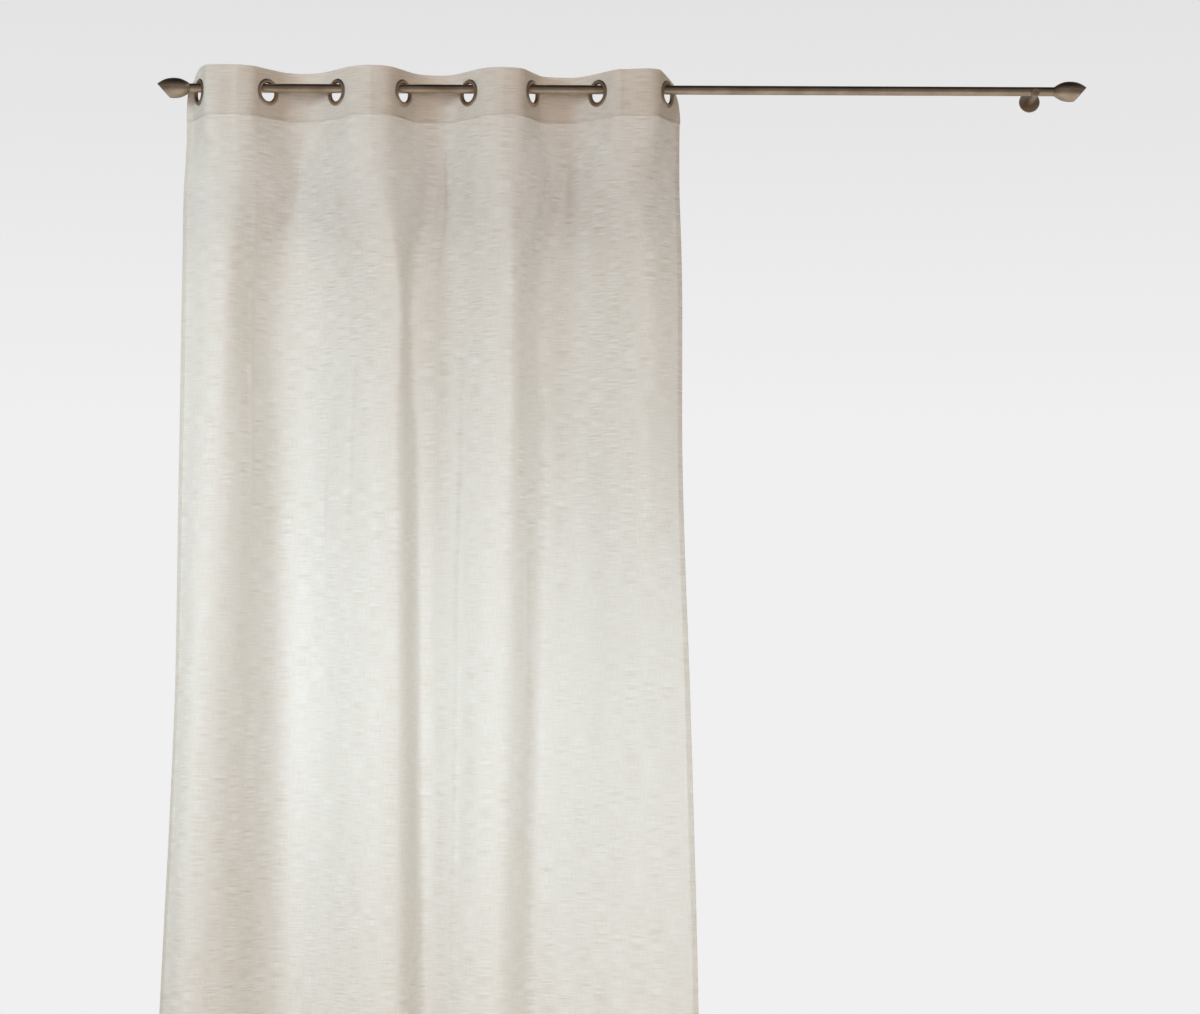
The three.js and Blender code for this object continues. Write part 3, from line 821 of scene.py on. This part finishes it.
def topEdge(across):
    # the height of the heading's fold over the rod's axis
    pitch = (headingLength - 2 * cloth["flapReach"]) / (len(eyelets) - 1)
    place = np.clip((across - cloth["flapReach"]) / pitch, 0, len(eyelets) - 1)
    index = np.minimum(place.astype(int), len(eyelets) - 2)
    tops = np.array([row["top"] for row in eyelets])
    share = smoothstep(0, 1, place - index)
    return (1 - share) * tops[index] + share * tops[index + 1]


def atCorners(across, key):
    # a corner value of the cloth, fading out along the heading
    reach = cloth[key + "Reach"]
    left = np.clip(1 - across / reach[0], 0, 1) ** cloth["cornerSpread"]
    right = np.clip(1 - (headingLength - across) / reach[1], 0, 1) ** cloth["cornerSpread"]
    return cloth[key][0] * left + cloth[key][1] * right


def makeHeading():
    half = headingBand["half"]
    columns = ceil(headingLength / headingBand["columnPitch"]) + 1
    across = np.linspace(0, headingLength, columns)
    layerRows = ceil(headingBand["height"] / headingBand["rowPitch"]) + 1
    # each row is a share of the way up one layer, with the fold between the two layers
    shares = np.linspace(0, 1, layerRows)
    turns = np.linspace(0, 1, headingBand["foldSteps"])[1:-1]
    rows = [(share, 1.0, 0.0) for share in shares]
    rows += [(1.0, cos(pi * turn), sin(pi * turn)) for turn in turns]
    rows += [(share, -1.0, 0.0) for share in shares[::-1]]

    flatAcross = np.tile(across, (len(rows), 1))
    tops = topEdge(across)
    bottom = -cloth["seam"]
    height = np.array([bottom + (tops - half - bottom) * share for share, _, _ in rows])
    faces = gridFaces(len(rows), columns)
    faceArray = np.array(faces)
    faceAcross = flatAcross.ravel()[faceArray].mean(1)
    faceHeight = height.ravel()[faceArray].mean(1)
    kept = np.ones(len(faces), bool)  # all but the faces in the holes
    for centre, below in eyeletPlaces:
        kept &= np.hypot(faceAcross - centre, faceHeight + below) > headingBand["hole"]
    lost = np.unique(faceArray[~kept])
    rim = np.intersect1d(lost, np.unique(faceArray[kept]))
    flatA, flatH = flatAcross.ravel(), height.ravel()  # the holes' rims are drawn to circles
    for centre, below in eyeletPlaces:
        near = rim[np.hypot(flatA[rim] - centre, flatH[rim] + below) < 2 * headingBand["hole"]]
        reach = np.hypot(flatA[near] - centre, flatH[near] + below)
        flatA[near] = centre + (flatA[near] - centre) * headingBand["hole"] / reach
        flatH[near] = -below + (flatH[near] + below) * headingBand["hole"] / reach
    flatAcross, height = flatA.reshape(flatAcross.shape), flatH.reshape(height.shape)

    points, flat = [], []
    for number, ((share, layer, over), rowAcross, rowHeight) in enumerate(zip(rows, flatAcross,
                                                                              height)):
        plan, normal = planRow(rowAcross, 0)
        up = share ** cloth["cornerFall"]
        sag = up * atCorners(rowAcross, "cornerSag")
        lean = up * atCorners(rowAcross, "cornerLean")
        ripple = headingRipple(rowAcross, -rowHeight)
        place = plan + normal * (half * layer - lean + ripple)[:, None]
        z = rodZ + rowHeight + half * over - sag
        points.append(np.column_stack([place, z]))
        if number in (1, len(rows) - 2):  # just over the lower edge, in front and behind
            addSeam(points[-1], layer * normal)
        fold = rowHeight if layer > 0 else 2 * tops - rowHeight
        flat.append(np.column_stack([rowAcross, fold]))
    faces = [tuple(face) for face in faceArray[kept]]
    count = len(rows)
    for row in range(layerRows - 1):  # the side edges are closed, front layer to back layer
        back = count - 1 - row
        faces.append((row * columns, (row + 1) * columns, (back - 1) * columns, back * columns))
        end = columns - 1
        faces.append((row * columns + end, back * columns + end, (back - 1) * columns + end,
                      (row + 1) * columns + end))
    foldRows = range(layerRows - 1, layerRows + len(turns) + 1)
    faces.append(tuple(row * columns for row in foldRows))
    faces.append(tuple(row * columns + columns - 1 for row in foldRows[::-1]))
    piece = addPiece("eyeletHeading", np.concatenate(points), faces, headingVoile,
                     np.concatenate(flat), 180)
    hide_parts("heading")
    return piece


def headingRipple(across, below):
    # light unevenness of the stiffened band, still at the flat eyelet places
    ripple = headingBand["ripple"]
    wave = np.array([noise.noise(Vector((place / ripple["across"], height / ripple["down"],
                                         ripple["seed"])))
                     for place, height in zip(across, below)])
    still = np.ones(len(across))
    for centre, _ in eyeletPlaces:
        still *= smoothstep(*ripple["still"], np.abs(across - centre))
    return ripple["height"] * wave * still


def makeEyelet(index):
    outline = roundCorners(eyelet["outline"], eyelet["edge"], 3)
    section = [eyelet["snapLine"]] + outline
    section += [(radius, -height) for radius, height in outline[::-1]] + section[:1]
    points, faces = turned(section, eyelet["sides"])
    direction = headingDirection(index)
    acrossRing = (direction[1], -direction[0], 0)
    below = eyeletPlaces[index][1]
    points = standing(points, acrossRing, (eyelets[index]["x"], rodY, rodZ - below))
    piece = addPiece(f"eyeletRing_{index + 1}", points, faces, eyeletBronze)
    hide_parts(f"eyelet_{index + 1}")
    return piece


def makeStitches():
    # each stitch is a slim spindle whose ends dip into the cloth
    points, faces = [], []
    for places, outward in seams:
        gone = np.concatenate([[0], np.cumsum(np.linalg.norm(np.diff(places, axis=0), axis=1))])
        start = np.arange(thread["pitch"], gone[-1] - thread["pitch"], thread["pitch"])
        tips = [np.column_stack([np.interp(start + reach, gone, places[:, axis])
                                 for axis in range(3)]) for reach in (0, thread["stitch"])]
        out = np.column_stack([np.interp(start, gone, outward[:, axis]) for axis in range(3)])
        side = np.cross(tips[1] - tips[0], out)
        side /= np.linalg.norm(side, axis=1)[:, None]
        middle = (tips[0] + tips[1]) / 2 + thread["radius"] * out
        ring = [middle + thread["radius"] * way for way in (out, side, -out, -side)]
        first = sum(map(len, points))
        points.append(np.stack(tips + ring, 1).reshape(-1, 3))
        for base in range(first, first + 6 * len(start), 6):
            for step in range(4):
                low, high = base + 2 + step, base + 2 + (step + 1) % 4
                faces += [(base, low, high), (base + 1, high, low)]
    piece = addPiece("hemStitching", np.concatenate(points), faces, sewingThread)
    return piece


rings = [makeEyelet(index) for index in range(len(eyelets))]
headingPiece = makeHeading()
panelPiece = makePanel()
makeStitches()
print("cloth made")

view = {
    "place": (0.945, -6.085, -1.3527),
    "tiltUp": 2.1,
    "roll": 0.25,
    "lens": 81.81,
    "sensor": 36,
    "shift": (-0.0333, 0.08),
}
studio = {
    "backdropLow": "#f0f0f0",
    "backdropShadeHigh": "#e3e3e4",
    "backdropTurns": (0.10, 0.25),  # sines of the heights over which it darkens: painted shade, as on a wall that is lit less towards the top
    "sky": [  # the room's soft light: sine of the height above the horizon, and brightness
        (-1, 0.0), (-0.3, 0.0), (0.1, 0.62), (0.35, 1.24), (0.6, 0.37), (1, 0.12),
    ],
    "skyTint": "#fff7e4",
    "mirrored": [  # what the metal mirrors: a pale room with a dark ceiling
        (-1, 0.66), (-0.6, 0.64), (-0.3, 0.26), (0.1, 0.19), (0.35, 0.27), (0.6, 0.12),
        (1, 0.010),
    ],
    "mirroredTint": "#fffaf4",
    "softboxes": [
        {"name": "frontSoftbox", "place": (0.9, -6.0, -0.6), "target": (0.5, -0.09, -1.2),
         "size": (3.0, 2.0), "power": 198, "tint": "#fff1f4"},
        {"name": "keySoftbox", "place": (-1.6, -1.7, 0.4), "target": (0.4, -0.09, -0.2),
         "size": (0.8, 0.8), "power": 49, "tint": "#d2ecff"},
        {"name": "backSoftbox", "place": (0.4, 0.8, -1.35), "target": (0.4, -0.09, -1.35),
         "size": (0.9, 0.6), "power": 9.6, "tint": "#d5edff"},
        {"name": "backRightSoftbox", "place": (1.15, 0.8, -1.55), "target": (0.95, -0.09, -1.55),
         "size": (0.4, 0.9), "power": 4.3, "tint": "#caeaff"},
        {"name": "backLeftSoftbox", "place": (-0.15, 0.7, -0.75), "target": (-0.05, -0.09, -0.75),
         "size": (0.3, 0.8), "power": 3.2, "tint": "#daefff"},
    ],
    "board": {"back": 0.14, "low": -0.25, "high": 0.6, "left": -0.9, "right": 2.6},
    "boardColour": "#d2c8bb",
    "boardRoughness": 0.9,
    "floorY": -0.09,
    "floorGap": 0.004,
    "floorRadius": 2.1,
    "floorFade": (0.2, 0.95),  # shares of the radius over which the floor fades out
    "floorColour": "#e6e9ee",
    "floorRoughness": 0.8,
    "clearLayers": 24,  # gaps of the cloth that a ray of light may pass through
}


def makeCamera():
    lens = bpy.data.cameras.new("camera")
    lens.lens, lens.sensor_width = view["lens"], view["sensor"]
    lens.shift_x, lens.shift_y = view["shift"]
    camera = bpy.data.objects.new("camera", lens)
    tilt = Matrix.Rotation(radians(90 + view["tiltUp"]), 4, "X")
    roll = Matrix.Rotation(radians(view["roll"]), 4, "Z")
    camera.matrix_world = Matrix.Translation(view["place"]) @ tilt @ roll
    scene.collection.objects.link(camera)
    scene.camera = camera


def makeWorld():
    # a pale backdrop for the eye, darker towards the top by painted shade, soft light from above,
    # and a plain room for the metal to mirror
    world = bpy.data.worlds.new("studio")
    world.use_nodes = True
    tree = world.node_tree
    tree.nodes.clear()
    place = addNode(tree, "ShaderNodeTexCoord")
    up = addNode(tree, "ShaderNodeSeparateXYZ", {}, {0: place.outputs["Generated"]})
    height = addNode(tree, "ShaderNodeMapRange", {"From Min": -1}, {"Value": up.outputs["Z"]})
    rooms = []
    for stopRows, tint in ((studio["sky"], studio["skyTint"]),
                           (studio["mirrored"], studio["mirroredTint"])):
        ramp = addNode(tree, "ShaderNodeValToRGB", {}, {0: height.outputs[0]})
        stops = ramp.color_ramp.elements
        for sine, _ in stopRows[1:-1]:
            stops.new((sine + 1) / 2)
        brightest = max(grey for _, grey in stopRows)
        for stop, (_, grey) in zip(stops, stopRows):
            stop.color = [grey / brightest * part for part in colour(tint)[:3]] + [1]
        rooms.append(addNode(tree, "ShaderNodeBackground", {"Strength": brightest},
                             {"Color": ramp.outputs[0]}))
    lowTurn, highTurn = studio["backdropTurns"]
    turn = addNode(tree, "ShaderNodeMapRange", {"From Min": lowTurn, "From Max": highTurn},
                   {"Value": up.outputs["Z"]})
    # painted shade: the backdrop seen by the eye turns darker towards the top
    backdrop = addNode(tree, "ShaderNodeMix", {"data_type": "RGBA",
                       6: colour(studio["backdropLow"]), 7: colour(studio["backdropShadeHigh"])},
                       {"Factor": turn.outputs[0]})
    seen = addNode(tree, "ShaderNodeBackground", {}, {"Color": backdrop.outputs[2]})
    rays = addNode(tree, "ShaderNodeLightPath")
    light = addNode(tree, "ShaderNodeMixShader", {}, {0: rays.outputs["Is Glossy Ray"],
                    1: rooms[0].outputs[0], 2: rooms[1].outputs[0]})
    both = addNode(tree, "ShaderNodeMixShader", {}, {0: rays.outputs["Is Camera Ray"],
                   1: light.outputs[0], 2: seen.outputs[0]})
    addNode(tree, "ShaderNodeOutputWorld", {}, {"Surface": both.outputs[0]})
    scene.world = world


def makeSoftbox(name, place, target, size, power, tint):
    lamp = bpy.data.lights.new(name, "AREA")
    lamp.shape = "RECTANGLE"
    lamp.size, lamp.size_y = size
    lamp.energy, lamp.color = power, colour(tint)[:3]
    light = bpy.data.objects.new(name, lamp)
    aim = (Vector(target) - Vector(place)).to_track_quat("-Z", "Y")
    light.matrix_world = Matrix.Translation(place) @ aim.to_matrix().to_4x4()
    light.visible_camera = light.visible_glossy = False  # the metal mirrors the room alone
    scene.collection.objects.link(light)


def makeBoard():
    # keeps light off the back of the heading, as the wall over a window does
    board = studio["board"]
    corners = [(board[side], board["back"], board[level])
               for side, level in (("left", "low"), ("right", "low"), ("right", "high"),
                                   ("left", "high"))]
    mesh = bpy.data.meshes.new("lintelBoard")
    mesh.from_pydata(corners, [], [(0, 1, 2, 3)])
    piece = bpy.data.objects.new("lintelBoard", mesh)
    scene.collection.objects.link(piece)
    material, tree = newMaterial("paintedBoard")
    face = addNode(tree, "ShaderNodeBsdfPrincipled", {"Base Color": colour(studio["boardColour"]),
                   "Roughness": studio["boardRoughness"]})
    addNode(tree, "ShaderNodeOutputMaterial", {}, {"Surface": face.outputs[0]})
    mesh.materials.append(material)
    piece.visible_camera = piece.visible_glossy = False
    piece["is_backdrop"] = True


def makeFloor():
    low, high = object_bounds()
    place = ((low.x + high.x) / 2, studio["floorY"], low.z - studio["floorGap"])
    bpy.ops.mesh.primitive_circle_add(vertices=128, radius=studio["floorRadius"],
                                      fill_type="NGON", location=place)
    floor = bpy.context.object
    floor.name = "studioFloor"
    material, tree = newMaterial("paintedFloor")
    place = addNode(tree, "ShaderNodeTexCoord")
    reach = addNode(tree, "ShaderNodeVectorMath", {"operation": "LENGTH"},
                    {0: place.outputs["Object"]})
    fadeStart, fadeEnd = [share * studio["floorRadius"] for share in studio["floorFade"]]
    fade = addNode(tree, "ShaderNodeMapRange", {"From Min": fadeStart, "From Max": fadeEnd},
                   {"Value": reach.outputs["Value"]})
    face = addNode(tree, "ShaderNodeBsdfPrincipled", {"Base Color": colour(studio["floorColour"]),
                   "Roughness": studio["floorRoughness"]})
    clear = addNode(tree, "ShaderNodeBsdfTransparent")
    both = addNode(tree, "ShaderNodeMixShader", {},
                   {0: fade.outputs[0], 1: face.outputs[0], 2: clear.outputs[0]})
    addNode(tree, "ShaderNodeOutputMaterial", {}, {"Surface": both.outputs[0]})
    floor.data.materials.append(material)
    floor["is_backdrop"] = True


makeCamera()
makeWorld()
for softbox in studio["softboxes"]:
    makeSoftbox(**softbox)
makeBoard()
makeFloor()
scene.view_settings.view_transform = "Standard"
scene.cycles.transparent_max_bounces = studio["clearLayers"]
print("camera, light and floor made")
